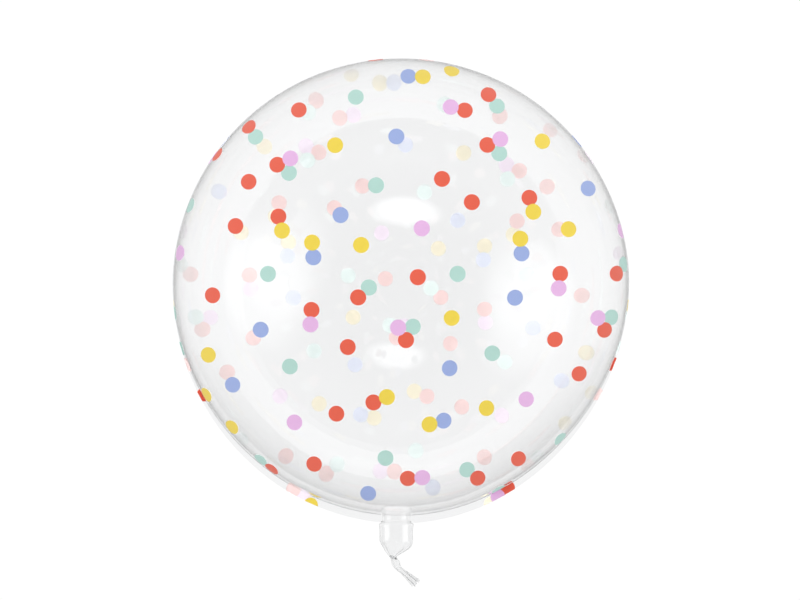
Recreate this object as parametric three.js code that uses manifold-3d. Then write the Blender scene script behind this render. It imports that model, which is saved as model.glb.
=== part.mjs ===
// A clear bubble balloon of 40 cm, blown up and tied: a ball of welded stretch film with a flat weld margin
// round the lower half of its seam, a blown neck, a knot tied in that neck, and a crumpled tail of film.
// It lies loose on its back, front up. Millimetres, +Z up, neck towards -Y. The origin is the centre of the
// flat spot that it rests on.

import * as THREE from 'three';
import { mergeVertices } from 'three/addons/utils/BufferGeometryUtils.js';
import Module from 'manifold-3d';

const wasm = await Module();
wasm.setup();

// The ball
const BALL_RADIUS = 200;
const BALL_SIDES = 64;
const BALL_RINGS = 32;
const REST_SPOT_RADIUS = 24;
const SEAM_HEIGHT = Math.sqrt(BALL_RADIUS ** 2 - REST_SPOT_RADIUS ** 2);

// The film is drawn in a little on both sides of the neck, so the ball isn't quite round there
const TUCK_RIGHT = 4.6;
const TUCK_LEFT = 2.2;
const TUCK_SPREAD = THREE.MathUtils.degToRad(100);

// The weld that joins the front panel to the back panel
const WELD_THICKNESS = 1;
const WELD_LEAST_WIDTH = 0.7;
const WELD_NECK_WIDTH = 7.4;
const WELD_SPREAD = THREE.MathUtils.degToRad(80);

// The neck, knot and tail
const NECK_OFFSET = -4.2;
const NECK_SIDES = 42;
const NECK_STEPS_PER_STATION = 2;
const PLEATS = 7;
const TAIL_LEAN = 48;
const TAIL_RAG = 1.6;
const RAG_LOBES = 3;
const PINCH_DROP = 37.3;
const PINCH_OFFSET = -6.8;
const PINCH_RADIUS = 2.7;
const KNOT_THICKNESS = 2;
const KNOT_TILT = THREE.MathUtils.degToRad(24);
const KNOT_SECTION_SIDES = 8;
const KNOT_SIDES = 18;

// Sections of the blown neck and the tail, from inside the ball to the ragged end. drop is how far below the
// ball a section lies, and offset how far sideways. width and depth are its half sizes across and along Z.
// pleat is how deep the gathered folds cut, as a share of those, and lean turns the section, in degrees.
const NECK_SECTIONS = [
  { drop: -10, offset: NECK_OFFSET, width: 11.6, depth: 11.6, pleat: 0, lean: 0 },
  { drop: 0, offset: NECK_OFFSET, width: 12.3, depth: 12.3, pleat: 0, lean: 0 },
  { drop: 5.4, offset: NECK_OFFSET, width: 12.4, depth: 12.4, pleat: 0, lean: 0 },
  { drop: 8, offset: NECK_OFFSET, width: 15.4, depth: 15, pleat: 0, lean: 0 },
  { drop: 11.5, offset: NECK_OFFSET, width: 14.6, depth: 14.6, pleat: 0, lean: 0 },
  { drop: 17, offset: NECK_OFFSET, width: 14.6, depth: 14.6, pleat: 0, lean: 0 },
  { drop: 22.8, offset: NECK_OFFSET, width: 14.8, depth: 14.6, pleat: 0.01, lean: 0 },
  { drop: 27.4, offset: -3.2, width: 13.5, depth: 12.8, pleat: 0.03, lean: 0 },
  { drop: 30.6, offset: -3.8, width: 11.2, depth: 9.8, pleat: 0.07, lean: 0 },
  { drop: 33.6, offset: -5.8, width: 7.2, depth: 6.4, pleat: 0.12, lean: 0 },
  { drop: 36, offset: PINCH_OFFSET, width: 3.8, depth: 3.6, pleat: 0.16, lean: 0 },
  { drop: PINCH_DROP, offset: PINCH_OFFSET, width: PINCH_RADIUS, depth: PINCH_RADIUS, pleat: 0.16, lean: 0 },
  { drop: 39.5, offset: -5.2, width: 3.5, depth: 2.6, pleat: 0.12, lean: 4 },
  { drop: 42.4, offset: -4.4, width: 4.1, depth: 2.4, pleat: 0.1, lean: 14 },
  { drop: 45.4, offset: -3.2, width: 3.1, depth: 2.2, pleat: 0.12, lean: 32 },
  { drop: 48, offset: -0.8, width: 2.2, depth: 2.1, pleat: 0.16, lean: TAIL_LEAN },
  { drop: 51.4, offset: 3.8, width: 2.9, depth: 2.3, pleat: 0.22, lean: TAIL_LEAN },
  { drop: 55.8, offset: 8.8, width: 3.9, depth: 2.7, pleat: 0.26, lean: TAIL_LEAN },
  { drop: 60, offset: 13.4, width: 5, depth: 3.1, pleat: 0.3, lean: TAIL_LEAN },
];

function solidFrom(geometry) {
  const bare = geometry.clone();
  bare.deleteAttribute('normal');
  bare.deleteAttribute('uv');
  const merged = mergeVertices(bare);
  const corners = merged.index.array;
  const triangles = [];
  for (let i = 0; i < corners.length; i += 3) {
    const [a, b, c] = corners.slice(i, i + 3);
    if (a !== b && b !== c && c !== a) {
      triangles.push(a, b, c);
    }
  }
  return new wasm.Manifold(new wasm.Mesh({
    numProp: 3,
    vertProperties: new Float32Array(merged.attributes.position.array),
    triVerts: new Uint32Array(triangles),
  }));
}

function geometryFrom(solid) {
  const mesh = solid.getMesh();
  const geometry = new THREE.BufferGeometry();
  geometry.setAttribute('position', new THREE.BufferAttribute(mesh.vertProperties, 3));
  geometry.setIndex(new THREE.BufferAttribute(mesh.triVerts, 1));
  geometry.computeVertexNormals();
  return geometry;
}

// How far the film is drawn in at an angle from the neck, counted towards +X
function tuck(angle) {
  const turn = Math.atan2(Math.sin(angle), Math.cos(angle));
  const share = Math.min(Math.abs(turn) / TUCK_SPREAD, 1);
  return (turn > 0 ? TUCK_RIGHT : TUCK_LEFT) * Math.sin(share * Math.PI) ** 2;
}

// A ball with a small flat spot underneath, turned about the upright axis and drawn in beside the neck
function makeBall() {
  const restAngle = Math.asin(REST_SPOT_RADIUS / BALL_RADIUS);
  const profile = [new THREE.Vector2(0, 0)];
  for (let ring = 0; ring < BALL_RINGS; ring += 1) {
    const angle = THREE.MathUtils.lerp(restAngle, Math.PI, ring / BALL_RINGS);
    const height = SEAM_HEIGHT - BALL_RADIUS * Math.cos(angle);
    profile.push(new THREE.Vector2(BALL_RADIUS * Math.sin(angle), ring === 0 ? 0 : height));
  }
  profile.push(new THREE.Vector2(0, SEAM_HEIGHT + BALL_RADIUS));
  const ball = new THREE.LatheGeometry(profile, BALL_SIDES);
  ball.rotateX(Math.PI / 2);
  const points = ball.attributes.position;
  for (let i = 0; i < points.count; i += 1) {
    const share = 1 - tuck(Math.atan2(points.getX(i), -points.getY(i))) / BALL_RADIUS;
    points.setXY(i, points.getX(i) * share, points.getY(i) * share);
  }
  return ball;
}

// How far the weld stands out at an angle from the neck: widest at the neck, and a bare edge at the top
function weldWidth(angle) {
  const fromNeck = Math.min(angle, 2 * Math.PI - angle);
  const share = Math.min(fromNeck / WELD_SPREAD, 1);
  return WELD_LEAST_WIDTH + (WELD_NECK_WIDTH - WELD_LEAST_WIDTH) * Math.cos(share * Math.PI / 2);
}

// A thin disc in the plane of the seam, whose rim is the weld margin
function makeWeld() {
  const rim = [];
  for (let side = 0; side < BALL_SIDES; side += 1) {
    const angle = 2 * Math.PI * side / BALL_SIDES;
    const reach = BALL_RADIUS + weldWidth(angle) - tuck(angle);
    rim.push(new THREE.Vector2(reach * Math.sin(angle), -reach * Math.cos(angle)));
  }
  const weld = new THREE.ExtrudeGeometry(
    new THREE.Shape(rim),
    { depth: WELD_THICKNESS, bevelEnabled: false },
  );
  weld.translate(0, 0, SEAM_HEIGHT - WELD_THICKNESS / 2);
  return weld;
}

// A cylinder drawn out through the sections: tube, gathered cone, pinch, folded strand and ragged tail
function makeNeckAndTail() {
  const route = new THREE.CatmullRomCurve3(
    NECK_SECTIONS.map(({ offset, drop, lean }) => new THREE.Vector3(offset, drop, lean)),
  );
  const form = new THREE.CatmullRomCurve3(
    NECK_SECTIONS.map(({ width, depth, pleat }) => new THREE.Vector3(width, depth, pleat)),
  );
  const steps = NECK_STEPS_PER_STATION * (NECK_SECTIONS.length - 1);
  const neck = new THREE.CylinderGeometry(1, 1, 1, NECK_SIDES, steps);
  const points = neck.attributes.position;
  for (let i = 0; i < points.count; i += 1) {
    const along = 0.5 - points.getY(i);
    const round = Math.atan2(points.getZ(i), points.getX(i));
    const { x: offset, y: drop, z: lean } = route.getPoint(along);
    const { x: width, y: depth, z: pleat } = form.getPoint(along);
    const gather = 1 - pleat * (1 + Math.cos(PLEATS * round)) / 2;
    const across = points.getX(i) * width * gather;
    const ragShare = Math.max(0, (along * steps - (steps - 2)) / 2);
    const outness = Math.hypot(points.getX(i), points.getZ(i));
    const rag = TAIL_RAG * ragShare * outness * Math.cos(RAG_LOBES * round);
    const turn = THREE.MathUtils.degToRad(lean);
    points.setXYZ(
      i,
      offset + across * Math.cos(turn) + rag * Math.sin(turn),
      -(BALL_RADIUS + drop) + across * Math.sin(turn) - rag * Math.cos(turn),
      SEAM_HEIGHT + points.getZ(i) * depth * gather,
    );
  }
  return neck;
}

// The turn of film that is drawn tight round the pinch
function makeKnot() {
  const knot = new THREE.TorusGeometry(PINCH_RADIUS, KNOT_THICKNESS / 2, KNOT_SECTION_SIDES, KNOT_SIDES);
  knot.rotateX(Math.PI / 2);
  knot.rotateZ(-KNOT_TILT);
  knot.translate(PINCH_OFFSET, -(BALL_RADIUS + PINCH_DROP), SEAM_HEIGHT);
  return knot;
}

const shell = solidFrom(makeBall())
  .add(solidFrom(makeWeld()))
  .add(solidFrom(makeNeckAndTail()))
  .add(solidFrom(makeKnot()));

const clearFilm = new THREE.MeshStandardMaterial({ color: 0xf1f3f4, roughness: 0.06, metalness: 0 });
clearFilm.transparent = true;
clearFilm.opacity = 0.3;

const balloon = new THREE.Mesh(geometryFrom(shell), clearFilm);
balloon.name = 'balloon';

const part = new THREE.Group();
part.add(balloon);

export default part;
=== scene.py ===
import math
import random

import bmesh
import bpy
from mathutils import Matrix, Vector


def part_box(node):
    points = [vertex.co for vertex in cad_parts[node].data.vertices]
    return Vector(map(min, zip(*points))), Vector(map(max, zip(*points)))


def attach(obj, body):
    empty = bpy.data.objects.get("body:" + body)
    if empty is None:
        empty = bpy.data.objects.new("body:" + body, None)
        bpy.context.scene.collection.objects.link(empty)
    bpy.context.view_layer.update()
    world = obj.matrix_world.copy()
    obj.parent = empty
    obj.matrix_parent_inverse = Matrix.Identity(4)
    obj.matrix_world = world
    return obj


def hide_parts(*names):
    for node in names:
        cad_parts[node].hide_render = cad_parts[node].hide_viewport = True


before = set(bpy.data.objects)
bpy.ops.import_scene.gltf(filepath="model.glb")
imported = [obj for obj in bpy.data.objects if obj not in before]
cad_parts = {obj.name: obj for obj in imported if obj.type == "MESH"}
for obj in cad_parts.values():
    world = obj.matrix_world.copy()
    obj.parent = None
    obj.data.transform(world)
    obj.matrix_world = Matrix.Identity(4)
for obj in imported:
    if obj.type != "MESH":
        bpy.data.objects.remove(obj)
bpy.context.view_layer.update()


# ---- The film: ball, neck and tail ----
# One bag of clear stretch film, 0.15 mm thick. Two round panels are welded at the rim and blown tight into a
# ball, and the open neck at the bottom is gathered, pinched shut and left as a crumpled tail.
WELD_LEAST_WIDTH = 0.0007
BALL_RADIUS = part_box("balloon")[1].y - WELD_LEAST_WIDTH
SEAM_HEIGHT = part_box("balloon")[1].z - BALL_RADIUS
BALL_SEGMENTS = 96
BALL_RINGS = 52
FILM_THICKNESS = 0.00015
FILM_REFRACTION = 1.46
LINE_LENGTHENING = 0.12
LINE_SHARE = 0.08
NECK_OFFSET = -0.0042
REST_CLEARANCE = 0.0003
REST_SOFTNESS = 0.0012
TAIL_RAG = 0.0016
TUCK_RIGHT = 0.0046
TUCK_LEFT = 0.0022
TUCK_SPREAD = math.radians(100)

# Drop below the ball, sideways offset, half width, half depth (mm), depth of the gathers and lean (degrees)
NECK_STATIONS = (
    (0.7, -4.2, 12.7, 12.7, 0, 0),
    (1.5, -4.2, 12.2, 12.2, 0, 0),
    (5.2, -4.2, 12.3, 12.3, 0, 0),
    (5.6, -4.2, 13.4, 13.4, 0, 0),
    (6.2, -4.2, 13.5, 13.5, 0, 0),
    (6.6, -4.2, 12.6, 12.6, 0, 0),
    (7.6, -4.2, 15.2, 15.0, 0, 0),
    (8.8, -4.2, 15.3, 15.0, 0, 0),
    (11.5, -4.2, 14.6, 14.6, 0, 0),
    (17.0, -4.2, 14.6, 14.6, 0, 0),
    (22.0, -4.2, 14.8, 14.6, 0.01, 0),
    (23.2, -4.1, 14.7, 14.4, 0.03, 0),
    (27.4, -3.2, 13.5, 12.8, 0.08, 0),
    (30.6, -3.8, 11.2, 9.8, 0.16, 0),
    (33.6, -5.8, 7.2, 6.4, 0.25, 0),
    (36.0, -6.8, 3.8, 3.6, 0.3, 0),
    (37.3, -6.8, 2.7, 2.7, 0.3, 0),
    (39.5, -5.2, 3.5, 2.6, 0.25, 4),
    (42.4, -4.4, 4.1, 2.4, 0.2, 14),
    (45.4, -3.2, 3.1, 2.2, 0.25, 32),
    (48.0, -0.8, 2.2, 2.1, 0.35, 48),
    (51.4, 3.8, 2.9, 2.3, 0.5, 48),
    (55.8, 8.8, 3.9, 2.7, 0.6, 48),
    (60.0, 13.4, 5.0, 3.1, 0.65, 48),
)


def deselect_all():
    if bpy.context.object and bpy.context.object.mode != "OBJECT":
        bpy.ops.object.mode_set(mode="OBJECT")
    bpy.ops.object.select_all(action="DESELECT")


def work_on(piece):
    deselect_all()
    piece.select_set(True)
    bpy.context.view_layer.objects.active = piece


def apply_modifier(piece, kind, **settings):
    work_on(piece)
    modifier = piece.modifiers.new(kind.title(), kind)
    for setting, value in settings.items():
        setattr(modifier, setting, value)
    bpy.ops.object.modifier_apply(modifier=modifier.name)


def gather(turn, depth):
    """How far the film is drawn in at an angle round the neck: uneven folds, as a share of its width."""
    return 1 - depth * (0.5 + 0.32 * math.cos(7 * turn + 0.4) + 0.18 * math.cos(11 * turn + 2))


def angle_from_neck(place):
    return math.atan2(place.x, -place.y)


def tucked(place):
    """The film is drawn in a little on both sides of the neck, so the ball isn't quite round there."""
    turn = angle_from_neck(place)
    share = min(abs(turn) / TUCK_SPREAD, 1)
    depth = (TUCK_RIGHT if turn > 0 else TUCK_LEFT) * math.sin(share * math.pi) ** 2
    drawn_in = 1 - depth / BALL_RADIUS
    return Vector((place.x * drawn_in, place.y * drawn_in, place.z))


def on_rest_spot(height):
    """The ball's film, pressed softly flat where it rests."""
    above = height - REST_CLEARANCE
    return REST_CLEARANCE + (above + math.hypot(above, REST_SOFTNESS)) / 2


deselect_all()
bpy.ops.mesh.primitive_uv_sphere_add(
    segments=BALL_SEGMENTS,
    ring_count=BALL_RINGS,
    radius=BALL_RADIUS,
    location=(0, 0, SEAM_HEIGHT),
    rotation=(math.radians(90), 0, math.asin(NECK_OFFSET / BALL_RADIUS)),
)
balloon_film = bpy.context.object
balloon_film.name = "balloon_film"
bpy.ops.object.transform_apply(location=True, rotation=True, scale=True)

# Open the ball at the neck
half_ring = math.pi / BALL_RINGS / 2
bpy.ops.object.mode_set(mode="EDIT")
bpy.ops.mesh.select_mode(type="VERT")
bpy.ops.mesh.select_all(action="DESELECT")
shape = bmesh.from_edit_mesh(balloon_film.data)
for point in shape.verts:
    point.select_set(point.co.y < -BALL_RADIUS * math.cos(half_ring))
bmesh.update_edit_mesh(balloon_film.data)
bpy.ops.mesh.delete(type="VERT")
shape = bmesh.from_edit_mesh(balloon_film.data)
round_neck = shape.verts.layers.float.new("round_neck")
for edge in shape.edges:
    edge.select_set(edge.is_boundary)
for point in shape.verts:
    if point.select:
        point[round_neck] = math.atan2(point.co.z - SEAM_HEIGHT, point.co.x - NECK_OFFSET)
bmesh.update_edit_mesh(balloon_film.data)

# Draw the neck and the tail out of the opening, one loop at each station
for station, (drop, offset, width, depth, folds, lean) in enumerate(NECK_STATIONS):
    bpy.ops.mesh.extrude_edges_move(TRANSFORM_OT_translate={"value": (0, -0.001, 0)})
    shape = bmesh.from_edit_mesh(balloon_film.data)
    round_neck = shape.verts.layers.float["round_neck"]
    across = Vector((math.cos(math.radians(lean)), math.sin(math.radians(lean)), 0))
    outward = Vector((across.y, -across.x, 0))
    centre = Vector((offset / 1000, -BALL_RADIUS - drop / 1000, SEAM_HEIGHT))
    rag = TAIL_RAG if station == len(NECK_STATIONS) - 1 else 0
    for point in shape.verts:
        if point.select:
            turn = point[round_neck]
            drawn_in = gather(turn, folds)
            point.co = centre + across * (width / 1000 * drawn_in * math.cos(turn))
            point.co += Vector((0, 0, depth / 1000 * drawn_in * math.sin(turn)))
            point.co += outward * rag * (0.7 * math.cos(3 * turn) + 0.3 * math.cos(8 * turn + 1))
    bmesh.update_edit_mesh(balloon_film.data)
bpy.ops.mesh.select_all(action="SELECT")
bpy.ops.mesh.normals_make_consistent(inside=False)
bpy.ops.object.mode_set(mode="OBJECT")

apply_modifier(balloon_film, "SUBSURF", levels=1, render_levels=1)
for point in balloon_film.data.vertices:
    point.co = tucked(point.co)
    point.co.z = on_rest_spot(point.co.z)
apply_modifier(balloon_film, "SOLIDIFY", thickness=FILM_THICKNESS, offset=-1, use_rim=True)
bpy.ops.object.shade_smooth_by_angle(angle=math.radians(50))


def new_group(name, inputs, outputs):
    group = bpy.data.node_groups.new(name, "ShaderNodeTree")
    for label, value in inputs.items():
        given = group.interface.new_socket(name=label, in_out="INPUT", socket_type="NodeSocketFloat")
        given.default_value = value
    for label in outputs:
        group.interface.new_socket(name=label, in_out="OUTPUT", socket_type="NodeSocketFloat")
    return group, group.nodes.new("NodeGroupInput"), group.nodes.new("NodeGroupOutput")


def film_flow_group():
    """Slow waves and fine draw lines, left where the film was stretched."""
    group, given, result = new_group("film_flow", {"Wave Scale": 9, "Line Scale": 160}, ["Height"])
    nodes = group.nodes
    links = group.links
    place = nodes.new("ShaderNodeTexCoord")
    waves = nodes.new("ShaderNodeTexNoise")
    waves.inputs["Detail"].default_value = 1
    stretch = nodes.new("ShaderNodeMapping")
    stretch.inputs["Scale"].default_value = (1, LINE_LENGTHENING, 1)
    lines = nodes.new("ShaderNodeTexNoise")
    lines.inputs["Detail"].default_value = 2
    share = nodes.new("ShaderNodeMath")
    share.operation = "MULTIPLY_ADD"
    share.inputs[1].default_value = LINE_SHARE
    links.new(place.outputs["Object"], waves.inputs["Vector"])
    links.new(given.outputs["Wave Scale"], waves.inputs["Scale"])
    links.new(place.outputs["Object"], stretch.inputs["Vector"])
    links.new(stretch.outputs["Vector"], lines.inputs["Vector"])
    links.new(given.outputs["Line Scale"], lines.inputs["Scale"])
    links.new(lines.outputs["Fac"], share.inputs[0])
    links.new(waves.outputs["Fac"], share.inputs[2])
    links.new(share.outputs["Value"], result.inputs["Height"])
    return group


film_flow = film_flow_group()


def clear_film(name, tint, roughness, wave_depth):
    """Clear film. It is so thin that light passes it without a shadow."""
    material = bpy.data.materials.new(name)
    material.use_nodes = True
    nodes = material.node_tree.nodes
    links = material.node_tree.links
    film = nodes["Principled BSDF"]
    film.inputs["Base Color"].default_value = (*tint, 1)
    film.inputs["Roughness"].default_value = roughness
    film.inputs["Metallic"].default_value = 0
    film.inputs["Transmission Weight"].default_value = 1
    film.inputs["IOR"].default_value = FILM_REFRACTION
    flow = nodes.new("ShaderNodeGroup")
    flow.node_tree = film_flow
    bump = nodes.new("ShaderNodeBump")
    bump.inputs["Distance"].default_value = wave_depth
    light_path = nodes.new("ShaderNodeLightPath")
    passing = nodes.new("ShaderNodeBsdfTransparent")
    mix = nodes.new("ShaderNodeMixShader")
    links.new(flow.outputs["Height"], bump.inputs["Height"])
    links.new(bump.outputs["Normal"], film.inputs["Normal"])
    links.new(light_path.outputs["Is Shadow Ray"], mix.inputs["Fac"])
    links.new(film.outputs["BSDF"], mix.inputs[1])
    links.new(passing.outputs["BSDF"], mix.inputs[2])
    links.new(mix.outputs["Shader"], nodes["Material Output"].inputs["Surface"])
    return material


balloon_film.data.materials.append(clear_film("clear_film", (0.978, 0.98, 0.982), 0, 0.0003))
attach(balloon_film, "root")
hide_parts("balloon")


# ---- The weld margin ----
# Both panels run out past the weld as a flat edge of film, die-cut in a crescent. It is widest beside the
# neck, dies away to a bare edge round the top, and stops where the neck passes through.
WELD_NECK_WIDTH = 0.0074
WELD_SPREAD = math.radians(80)
MARGIN_THICKNESS = 0.00025
MARGIN_SIDES = 240
NECK_HALF_WIDTH = 0.0124


def weld_width(angle):
    """How far the margin stands out at an angle from the neck."""
    share = min(abs(angle) / WELD_SPREAD, 1)
    return WELD_LEAST_WIDTH + (WELD_NECK_WIDTH - WELD_LEAST_WIDTH) * math.cos(share * math.pi / 2)


deselect_all()
bpy.ops.mesh.primitive_circle_add(
    vertices=MARGIN_SIDES, radius=BALL_RADIUS - 0.0001, fill_type="NOTHING", location=(0, 0, SEAM_HEIGHT)
)
weld_margin = bpy.context.object
weld_margin.name = "weld_margin"
bpy.ops.object.transform_apply(location=True, rotation=True, scale=True)
bpy.ops.object.mode_set(mode="EDIT")
bpy.ops.mesh.select_mode(type="VERT")
bpy.ops.mesh.select_all(action="SELECT")
bpy.ops.mesh.extrude_edges_move(TRANSFORM_OT_translate={"value": (0, 0, 0)})
shape = bmesh.from_edit_mesh(weld_margin.data)
for point in shape.verts:
    if point.select:
        flat = Vector((point.co.x, point.co.y, 0))
        reach = BALL_RADIUS + weld_width(angle_from_neck(flat))
        point.co = flat.normalized() * reach + Vector((0, 0, SEAM_HEIGHT))
bmesh.update_edit_mesh(weld_margin.data)
for side in (-1, 1):
    bpy.ops.mesh.select_all(action="SELECT")
    bpy.ops.mesh.bisect(plane_co=(NECK_OFFSET + side * NECK_HALF_WIDTH, 0, 0), plane_no=(1, 0, 0))
bpy.ops.mesh.select_mode(type="FACE")
bpy.ops.mesh.select_all(action="DESELECT")
shape = bmesh.from_edit_mesh(weld_margin.data)
for face in shape.faces:
    middle = face.calc_center_median()
    face.select_set(middle.y < 0 and abs(middle.x - NECK_OFFSET) < NECK_HALF_WIDTH)
bmesh.update_edit_mesh(weld_margin.data)
bpy.ops.mesh.delete(type="FACE")
bpy.ops.mesh.select_mode(type="VERT")
bpy.ops.mesh.select_all(action="SELECT")
bpy.ops.mesh.normals_make_consistent(inside=False)
bpy.ops.object.mode_set(mode="OBJECT")
for point in weld_margin.data.vertices:
    point.co = tucked(point.co)
apply_modifier(weld_margin, "SOLIDIFY", thickness=MARGIN_THICKNESS, offset=0, use_rim=True)
bpy.ops.object.shade_smooth_by_angle(angle=math.radians(40))

weld_margin.data.materials.append(clear_film("margin_film", (0.94, 0.943, 0.946), 0.03, 0.0001))
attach(weld_margin, "root")
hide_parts("balloon")


# ---- The weld line ----
# Heat melts the two panels into one fine bead all round the ball. It is denser than the film, so it draws the
# dark line that edges the ball.
WELD_LINE_RADIUS = 0.0004
WELD_LINE_SWELL = 0.6

deselect_all()
bpy.ops.mesh.primitive_torus_add(
    major_segments=MARGIN_SIDES,
    minor_segments=8,
    major_radius=BALL_RADIUS,
    minor_radius=WELD_LINE_RADIUS,
    location=(0, 0, SEAM_HEIGHT),
)
weld_line = bpy.context.object
weld_line.name = "weld_line"
bpy.ops.object.transform_apply(location=True, rotation=True, scale=True)

# The weld is heavier round the lower half, where the margin is left on
for point in weld_line.data.vertices:
    centre = Vector((point.co.x, point.co.y, 0)).normalized() * BALL_RADIUS + Vector((0, 0, SEAM_HEIGHT))
    heavier = 1 + WELD_LINE_SWELL * weld_width(angle_from_neck(centre)) / WELD_NECK_WIDTH
    point.co = tucked(centre + (point.co - centre) * heavier)
bpy.ops.object.shade_smooth()

weld_line.data.materials.append(clear_film("weld_bead", (0.9, 0.905, 0.91), 0.08, 0.0001))
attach(weld_line, "root")
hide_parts("balloon")


# ---- The knot ----
# The neck is tied in itself: one turn of rolled film is drawn tight round the pinch, a little askew.
PINCH_CENTRE = Vector((-0.0068, -BALL_RADIUS - 0.0373, SEAM_HEIGHT))
PINCH_RADIUS = 0.0027
KNOT_RADIUS = 0.001
KNOT_TILT = math.radians(24)
ROLL_LINES = 3
ROLL_DEPTH = 0.14

deselect_all()
bpy.ops.mesh.primitive_torus_add(
    major_segments=48,
    minor_segments=16,
    major_radius=PINCH_RADIUS,
    minor_radius=KNOT_RADIUS,
    location=PINCH_CENTRE,
    rotation=(math.radians(90), 0, -KNOT_TILT),
)
knot_turn = bpy.context.object
knot_turn.name = "knot_turn"

# Lines of the rolled film wind once round the turn
for point in knot_turn.data.vertices:
    around = math.atan2(point.co.y, point.co.x)
    ring = Vector((math.cos(around), math.sin(around), 0)) * PINCH_RADIUS
    out = point.co - ring
    section = math.atan2(out.z, out.dot(ring.normalized()))
    point.co = ring + out * (1 - ROLL_DEPTH + ROLL_DEPTH * math.cos(ROLL_LINES * section + around))
bpy.ops.object.transform_apply(location=True, rotation=True, scale=True)
bpy.ops.object.shade_smooth()

knot_turn.data.materials.append(clear_film("knot_film", (0.93, 0.935, 0.94), 0.05, 0.0002))
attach(knot_turn, "root")
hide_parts("balloon")


# ---- The print ----
# Both panels are printed flat with the same polka dots before they are welded: ink over a pale undercoat, one
# pass for each colour. The dots stand alone, in pairs or in threes, and the film's cut edge crosses some.
DOT_RADIUS = 0.0069
DOT_SIDES = 24
DOT_SPAN = 6
PAIR_STEP = 0.0125
MOTIF_PITCH = 0.048
ROW_PITCH = 0.0425
MOTIF_DRIFT = 0.01
PANEL_SHIFT = 0.25
PANEL_TURN = math.radians(17)
RUN_SHIFT = 4
HEADING_STEP = math.radians(137.5)
PRINT_SEED = 5
INK_THICKNESS = 0.00002
INK_LIFT = 0.00006
PASS_STEP = 0.00004
MOST_STRETCH = 2.8
NECK_CLEARANCE = 0.07
UNDERCOAT_TINT = 0.28
INK_SHEEN = 0.2
GRAIN_STRENGTH = 0.3
GRAIN_DEPTH = 0.00002

# Each ink's colour, in the order of the passes
INKS = {
    "blue": (0.297, 0.376, 0.644),
    "mint": (0.4, 0.599, 0.545),
    "red": (0.69, 0.118, 0.074),
    "pink": (0.683, 0.415, 0.669),
    "yellow": (0.744, 0.574, 0.078),
}

# The motifs come in this order along a row, and each row starts RUN_SHIFT places further on
PRINT_RUN = (
    ("red",),
    ("mint",),
    ("blue", "yellow"),
    ("yellow",),
    ("pink",),
    ("red",),
    ("red", "yellow"),
    ("blue",),
    ("mint",),
    ("red",),
    ("mint", "pink", "red"),
    ("yellow",),
    ("blue",),
    ("red", "pink"),
    ("red", "mint"),
)

CAP_ANGLE = math.acos(1 / MOST_STRETCH)
CAP_REACH = BALL_RADIUS * math.sin(CAP_ANGLE)
SEAM_REACH = CAP_REACH + (math.pi / 2 - CAP_ANGLE) * BALL_RADIUS / MOST_STRETCH


def blown_place(flat, lift):
    """Where a point of the flat print comes to lie on the front panel once the ball is blown up."""
    reach = flat.length
    heading = flat.normalized()
    if reach >= SEAM_REACH:
        out = heading * (BALL_RADIUS + reach - SEAM_REACH)
        return Vector((out.x, out.y, SEAM_HEIGHT + MARGIN_THICKNESS / 2 + lift))
    if reach < CAP_REACH:
        angle = math.asin(reach / BALL_RADIUS)
    else:
        angle = CAP_ANGLE + (reach - CAP_REACH) * MOST_STRETCH / BALL_RADIUS
    out = heading * math.sin(angle) * (BALL_RADIUS + lift)
    return Vector((out.x, out.y, SEAM_HEIGHT + math.cos(angle) * (BALL_RADIUS + lift)))


def film_edge(flat):
    return SEAM_REACH + weld_width(angle_from_neck(flat))


def on_panel(place):
    """Dots reach the film's cut edge, but keep clear of the mouth of the neck."""
    beside_neck = abs(place.x - NECK_OFFSET) < NECK_CLEARANCE and place.y < -CAP_REACH
    return place.length - DOT_RADIUS < film_edge(place) and not beside_neck


def lay_out_print():
    """The places of all dots on one flat panel, for each ink: a tilted half-drop repeat that drifts."""
    places = {ink: [] for ink in INKS}
    drift = random.Random(PRINT_SEED)
    rows = math.ceil(SEAM_REACH / ROW_PITCH) + 1
    columns = math.ceil(SEAM_REACH / MOTIF_PITCH) + 1
    for row in range(-rows, rows + 1):
        for column in range(-columns, columns + 1):
            centre = Vector(((column + row % 2 / 2 + PANEL_SHIFT) * MOTIF_PITCH, row * ROW_PITCH))
            centre.rotate(Matrix.Rotation(PANEL_TURN, 2))
            centre += Vector((drift.uniform(-1, 1), drift.uniform(-1, 1))) * MOTIF_DRIFT
            turn = column + row * RUN_SHIFT
            motif = PRINT_RUN[turn % len(PRINT_RUN)]
            ring = PAIR_STEP / (2 * math.sin(math.pi / len(motif))) if len(motif) > 1 else 0
            for member, ink in enumerate(motif):
                heading = turn * HEADING_STEP + member * math.tau / len(motif)
                places[ink].append(centre + Vector((math.cos(heading), math.sin(heading))) * ring)
    return places


deselect_all()
bpy.ops.mesh.primitive_circle_add(vertices=DOT_SIDES, radius=DOT_RADIUS, fill_type="NOTHING")
flat_dot = bpy.context.object
bpy.ops.object.mode_set(mode="EDIT")
bpy.ops.mesh.select_all(action="SELECT")
bpy.ops.mesh.fill_grid(span=DOT_SPAN)
bpy.ops.mesh.normals_make_consistent(inside=False)
bpy.ops.object.mode_set(mode="OBJECT")


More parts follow.
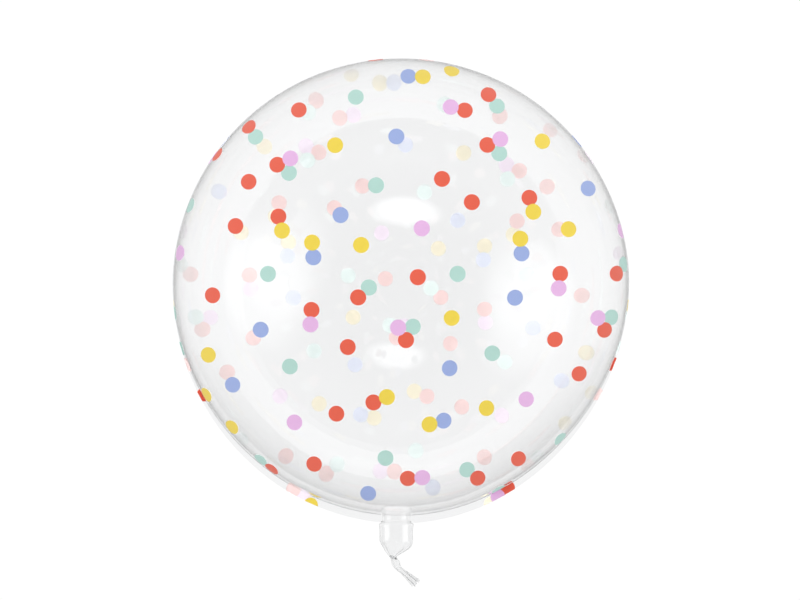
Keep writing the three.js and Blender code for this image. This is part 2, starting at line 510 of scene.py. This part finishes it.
def print_dot(place):
    """One flat dot, cut through where the film ends."""
    dot = flat_dot.copy()
    dot.data = flat_dot.data.copy()
    bpy.context.collection.objects.link(dot)
    dot.data.transform(Matrix.Translation((place.x, place.y, 0)))
    if place.length + DOT_RADIUS < CAP_REACH:
        return dot
    heading = Vector((place.x, place.y, 0)).normalized()
    work_on(dot)
    bpy.ops.object.mode_set(mode="EDIT")
    bpy.ops.mesh.select_all(action="SELECT")
    bpy.ops.mesh.subdivide(number_cuts=2)
    for reach, ends in ((SEAM_REACH, False), (film_edge(place), True)):
        if place.length - DOT_RADIUS < reach < place.length + DOT_RADIUS:
            bpy.ops.mesh.select_all(action="SELECT")
            bpy.ops.mesh.bisect(plane_co=heading * reach, plane_no=heading, clear_outer=ends)
    bpy.ops.object.mode_set(mode="OBJECT")
    return dot


def print_grain_group():
    """The fine mottle of a printed ink: a tone round 1, a roughness and a height."""
    group, given, result = new_group(
        "print_grain",
        {"Grain Scale": 900, "Tone Depth": 0.03, "Roughness": 0.4},
        ["Tone", "Roughness", "Height"],
    )
    nodes = group.nodes
    links = group.links
    place = nodes.new("ShaderNodeTexCoord")
    grain = nodes.new("ShaderNodeTexNoise")
    grain.inputs["Detail"].default_value = 3
    links.new(place.outputs["Object"], grain.inputs["Vector"])
    links.new(given.outputs["Grain Scale"], grain.inputs["Scale"])
    centred = nodes.new("ShaderNodeMath")
    centred.operation = "SUBTRACT"
    centred.inputs[1].default_value = 0.5
    links.new(grain.outputs["Fac"], centred.inputs[0])
    tone = nodes.new("ShaderNodeMath")
    tone.operation = "MULTIPLY_ADD"
    tone.inputs[2].default_value = 1
    links.new(centred.outputs["Value"], tone.inputs[0])
    links.new(given.outputs["Tone Depth"], tone.inputs[1])
    links.new(tone.outputs["Value"], result.inputs["Tone"])
    roughness = nodes.new("ShaderNodeMath")
    roughness.operation = "MULTIPLY_ADD"
    roughness.inputs[1].default_value = 0.15
    links.new(centred.outputs["Value"], roughness.inputs[0])
    links.new(given.outputs["Roughness"], roughness.inputs[2])
    links.new(roughness.outputs["Value"], result.inputs["Roughness"])
    links.new(grain.outputs["Fac"], result.inputs["Height"])
    return group


print_grain = print_grain_group()


def printed(name, colour, roughness, tone_depth):
    """A coat of printing ink, with its fine mottle."""
    material = bpy.data.materials.new(name)
    material.use_nodes = True
    nodes = material.node_tree.nodes
    links = material.node_tree.links
    ink = nodes["Principled BSDF"]
    ink.inputs["Specular IOR Level"].default_value = INK_SHEEN
    grain = nodes.new("ShaderNodeGroup")
    grain.node_tree = print_grain
    grain.inputs["Tone Depth"].default_value = tone_depth
    grain.inputs["Roughness"].default_value = roughness
    coat = nodes.new("ShaderNodeVectorMath")
    coat.operation = "SCALE"
    coat.inputs[0].default_value = colour
    bump = nodes.new("ShaderNodeBump")
    bump.inputs["Strength"].default_value = GRAIN_STRENGTH
    bump.inputs["Distance"].default_value = GRAIN_DEPTH
    links.new(grain.outputs["Tone"], coat.inputs["Scale"])
    links.new(coat.outputs["Vector"], ink.inputs["Base Color"])
    links.new(grain.outputs["Roughness"], ink.inputs["Roughness"])
    links.new(grain.outputs["Height"], bump.inputs["Height"])
    links.new(bump.outputs["Normal"], ink.inputs["Normal"])
    return material


def undercoat_colour(colour):
    """White undercoat with a breath of the ink showing through it."""
    return [1 - UNDERCOAT_TINT * (1 - value / max(colour)) for value in colour]


def lay_on_ball(flat_print, lift):
    """Wraps the front panel's dots on the ball, and copies them to the back panel, turned over."""
    for point in flat_print.data.vertices:
        point.co = blown_place(Vector((point.co.x, point.co.y)), lift)
    back = flat_print.copy()
    back.data = flat_print.data.copy()
    bpy.context.collection.objects.link(back)
    turned_over = Matrix.Rotation(math.pi, 4, "Y")
    back.data.transform(Matrix.Translation((0, 0, 2 * SEAM_HEIGHT)) @ turned_over)
    for point in flat_print.data.vertices:
        point.co = tucked(point.co)
    for point in back.data.vertices:
        point.co = tucked(point.co)
        point.co.z = on_rest_spot(point.co.z + lift) - lift
    back.select_set(True)
    bpy.ops.object.join()


print_places = lay_out_print()
for print_pass, (ink, colour) in enumerate(INKS.items()):
    dots = [print_dot(place) for place in print_places[ink] if on_panel(place)]
    deselect_all()
    for dot in dots:
        dot.select_set(True)
    bpy.context.view_layer.objects.active = dots[0]
    bpy.ops.object.join()
    ink_dots = bpy.context.object
    ink_dots.name = f"{ink}_dots"
    work_on(ink_dots)
    lay_on_ball(ink_dots, INK_LIFT + print_pass * PASS_STEP)
    ink_dots.data.materials.append(printed(f"{ink}_ink", colour, 0.42, 0.03))
    ink_dots.data.materials.append(printed(f"{ink}_undercoat", undercoat_colour(colour), 0.6, 0.01))
    apply_modifier(
        ink_dots, "SOLIDIFY", thickness=INK_THICKNESS, offset=-1, material_offset=1, material_offset_rim=0
    )
    bpy.ops.object.shade_smooth_by_angle(angle=math.radians(50))
    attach(ink_dots, "root")
    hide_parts("balloon")
bpy.data.objects.remove(flat_dot)


# ---- The studio ----
# A white floor that is lit all through, two broad soft boxes beside the balloon and one above its crown, a
# dark card round the neck side, and an even light from five sides that doesn't mirror in the film.
VIEW_CENTRE = Vector((-0.0009, -0.0114, SEAM_HEIGHT))
VIEW_WIDTH = 0.702
LENS = 300
SENSOR = 36
FLOOR_SIZE = 12
FLOOR_GLOW = 1.02
FLOOR_IN_MIRROR = 0.6
FLOOR_BY_NECK = 0.42
SKY_TOP = 0.1
ROOM_FADES_TO = 0.3
BOX_FADES_FROM = 0.45
CARD_FADES_FROM = 0.9
ROOM_BY_NECK = 0.25
CARD_GLOW = 0.2
CARD_RADIUS = 0.36
CARD_HEIGHT = 0.22
CARD_SPREAD = math.radians(75)
SIDE_LAMP_TILT = math.radians(65)


def emitting(name):
    """A material that only shines, and its node that shines."""
    material = bpy.data.materials.new(name)
    material.use_nodes = True
    nodes = material.node_tree.nodes
    nodes.remove(nodes["Principled BSDF"])
    glow = nodes.new("ShaderNodeEmission")
    material.node_tree.links.new(glow.outputs["Emission"], nodes["Material Output"].inputs["Surface"])
    return material, glow


deselect_all()
bpy.ops.mesh.primitive_plane_add(size=FLOOR_SIZE, location=(0, 0, -0.0004))
floor = bpy.context.object
floor.name = "floor"
floor_white, glow = emitting("floor_white")
nodes = floor_white.node_tree.nodes
links = floor_white.node_tree.links
light_path = nodes.new("ShaderNodeLightPath")
in_mirror = nodes.new("ShaderNodeMath")
in_mirror.operation = "MULTIPLY"
dimmed = nodes.new("ShaderNodeMapRange")
dimmed.inputs["To Min"].default_value = FLOOR_GLOW
place_on_floor = nodes.new("ShaderNodeTexCoord")
towards_crown = nodes.new("ShaderNodeSeparateXYZ")
mirrored = nodes.new("ShaderNodeMapRange")
mirrored.interpolation_type = "SMOOTHSTEP"
mirrored.inputs["From Min"].default_value = -BALL_RADIUS
mirrored.inputs["From Max"].default_value = 0
mirrored.inputs["To Min"].default_value = FLOOR_BY_NECK
mirrored.inputs["To Max"].default_value = FLOOR_IN_MIRROR
links.new(place_on_floor.outputs["Object"], towards_crown.inputs["Vector"])
links.new(towards_crown.outputs["Y"], mirrored.inputs["Value"])
links.new(mirrored.outputs["Result"], dimmed.inputs["To Max"])
links.new(light_path.outputs["Is Reflection Ray"], in_mirror.inputs[0])
links.new(light_path.outputs["Is Glossy Ray"], in_mirror.inputs[1])
links.new(in_mirror.outputs["Value"], dimmed.inputs["Value"])
links.new(dimmed.outputs["Result"], glow.inputs["Strength"])
floor.data.materials.append(floor_white)

# The room is as pale as the mirrored floor at the horizon, darker behind the neck, and darkest overhead
world = bpy.data.worlds.new("studio")
world.use_nodes = True
nodes = world.node_tree.nodes
links = world.node_tree.links
direction = nodes.new("ShaderNodeTexCoord")
upward = nodes.new("ShaderNodeSeparateXYZ")
sky = nodes.new("ShaderNodeMapRange")
sky.interpolation_type = "SMOOTHSTEP"
horizon = nodes.new("ShaderNodeMapRange")
horizon.interpolation_type = "SMOOTHSTEP"
horizon.inputs["From Min"].default_value = -1
horizon.inputs["From Max"].default_value = ROOM_FADES_TO
horizon.inputs["To Min"].default_value = ROOM_BY_NECK
horizon.inputs["To Max"].default_value = FLOOR_IN_MIRROR
sky.inputs["To Max"].default_value = SKY_TOP
links.new(direction.outputs["Generated"], upward.inputs["Vector"])
links.new(upward.outputs["Y"], horizon.inputs["Value"])
links.new(horizon.outputs["Result"], sky.inputs["To Min"])
links.new(upward.outputs["Z"], sky.inputs["Value"])
links.new(sky.outputs["Result"], nodes["Background"].inputs["Strength"])
nodes["Background"].inputs["Color"].default_value = (1, 1, 1, 1)
bpy.context.scene.world = world


def only_mirrored(thing, material, glow):
    """Only mirror images in the film show it. Seen straight on or through the film, it isn't there."""
    nodes = material.node_tree.nodes
    links = material.node_tree.links
    light_path = nodes.new("ShaderNodeLightPath")
    mirrored = nodes.new("ShaderNodeMath")
    mirrored.operation = "GREATER_THAN"
    see_through = nodes.new("ShaderNodeBsdfTransparent")
    shown = nodes.new("ShaderNodeMixShader")
    links.new(light_path.outputs["Glossy Depth"], mirrored.inputs[0])
    links.new(mirrored.outputs["Value"], shown.inputs["Fac"])
    links.new(see_through.outputs["BSDF"], shown.inputs[1])
    links.new(glow.outputs[0], shown.inputs[2])
    links.new(shown.outputs["Shader"], nodes["Material Output"].inputs["Surface"])
    thing.data.materials.append(material)
    thing.visible_camera = False
    thing.visible_shadow = False
    thing.visible_diffuse = False


def soft_box(name, place, width, height, strength):
    """A soft box that faces the ball and fades towards its edges."""
    deselect_all()
    bpy.ops.mesh.primitive_plane_add(size=2, location=place)
    box = bpy.context.object
    box.name = name
    box.rotation_euler = (Vector((0, 0, SEAM_HEIGHT)) - Vector(place)).to_track_quat("Z", "Y").to_euler()
    box.scale = (width / 2, height / 2, 1)
    material, glow = emitting(name)
    nodes = material.node_tree.nodes
    links = material.node_tree.links
    place_on_box = nodes.new("ShaderNodeTexCoord")
    from_middle = nodes.new("ShaderNodeVectorMath")
    from_middle.operation = "LENGTH"
    fade = nodes.new("ShaderNodeMapRange")
    fade.interpolation_type = "SMOOTHSTEP"
    fade.inputs["From Min"].default_value = 1
    fade.inputs["From Max"].default_value = BOX_FADES_FROM
    fade.inputs["To Max"].default_value = strength
    see_through = nodes.new("ShaderNodeBsdfTransparent")
    both = nodes.new("ShaderNodeAddShader")
    links.new(place_on_box.outputs["Object"], from_middle.inputs[0])
    links.new(from_middle.outputs["Value"], fade.inputs["Value"])
    links.new(fade.outputs["Result"], glow.inputs["Strength"])
    links.new(glow.outputs["Emission"], both.inputs[0])
    links.new(see_through.outputs["BSDF"], both.inputs[1])
    only_mirrored(box, material, both)


soft_box("left_box", (-1.5, 0, 0.75), 1.9, 1.9, 0.9)
soft_box("right_box", (1.44, -0.3, 0.8), 2.0, 1.9, 0.9)
soft_box("crown_box", (0.1, 1.62, 2.36), 1.9, 0.9, 2.4)

# The dark card is an upright arc, open towards the crown
deselect_all()
bpy.ops.mesh.primitive_circle_add(vertices=96, radius=CARD_RADIUS, fill_type="NOTHING")
dark_card = bpy.context.object
dark_card.name = "dark_card"
bpy.ops.object.mode_set(mode="EDIT")
bpy.ops.mesh.select_all(action="DESELECT")
shape = bmesh.from_edit_mesh(dark_card.data)
for point in shape.verts:
    point.select_set(abs(angle_from_neck(point.co)) > CARD_SPREAD)
bmesh.update_edit_mesh(dark_card.data)
bpy.ops.mesh.delete(type="VERT")
bpy.ops.mesh.select_all(action="SELECT")
bpy.ops.mesh.extrude_edges_move(TRANSFORM_OT_translate={"value": (0, 0, CARD_HEIGHT)})
bpy.ops.object.mode_set(mode="OBJECT")
card_black, glow = emitting("card_black")
nodes = card_black.node_tree.nodes
links = card_black.node_tree.links
place_on_card = nodes.new("ShaderNodeTexCoord")
towards_crown = nodes.new("ShaderNodeSeparateXYZ")
card_fade = nodes.new("ShaderNodeMapRange")
card_fade.interpolation_type = "SMOOTHSTEP"
card_fade.inputs["From Min"].default_value = -CARD_FADES_FROM * CARD_RADIUS
card_fade.inputs["From Max"].default_value = -math.cos(CARD_SPREAD) * CARD_RADIUS
card_fade.inputs["To Min"].default_value = CARD_GLOW
card_fade.inputs["To Max"].default_value = FLOOR_IN_MIRROR
links.new(place_on_card.outputs["Object"], towards_crown.inputs["Vector"])
links.new(towards_crown.outputs["Y"], card_fade.inputs["Value"])
links.new(card_fade.outputs["Result"], glow.inputs["Strength"])
only_mirrored(dark_card, card_black, glow)


def even_lamp(name, tilt, heading, strength):
    """A broad far light that the film doesn't mirror."""
    lamp = bpy.data.lights.new(name, "SUN")
    lamp.energy = strength * math.pi
    lamp.angle = math.radians(30)
    lamp.cycles.use_multiple_importance_sampling = False
    far_light = bpy.data.objects.new(name, lamp)
    bpy.context.collection.objects.link(far_light)
    far_light.rotation_euler = (tilt, 0, heading)
    far_light.visible_glossy = False
    far_light.visible_transmission = False


even_lamp("overhead_light", 0, 0, 0.31)
for quarter in range(4):
    even_lamp(f"side_light_{quarter + 1}", SIDE_LAMP_TILT, quarter * math.pi / 2, 0.42)

camera_data = bpy.data.cameras.new("camera")
camera_data.lens = LENS
camera_data.sensor_width = SENSOR
camera_data.clip_end = 50
camera = bpy.data.objects.new("camera", camera_data)
camera.location = VIEW_CENTRE + Vector((0, 0, VIEW_WIDTH * LENS / SENSOR))
bpy.context.collection.objects.link(camera)
bpy.context.scene.camera = camera
bpy.context.scene.view_settings.view_transform = "Standard"
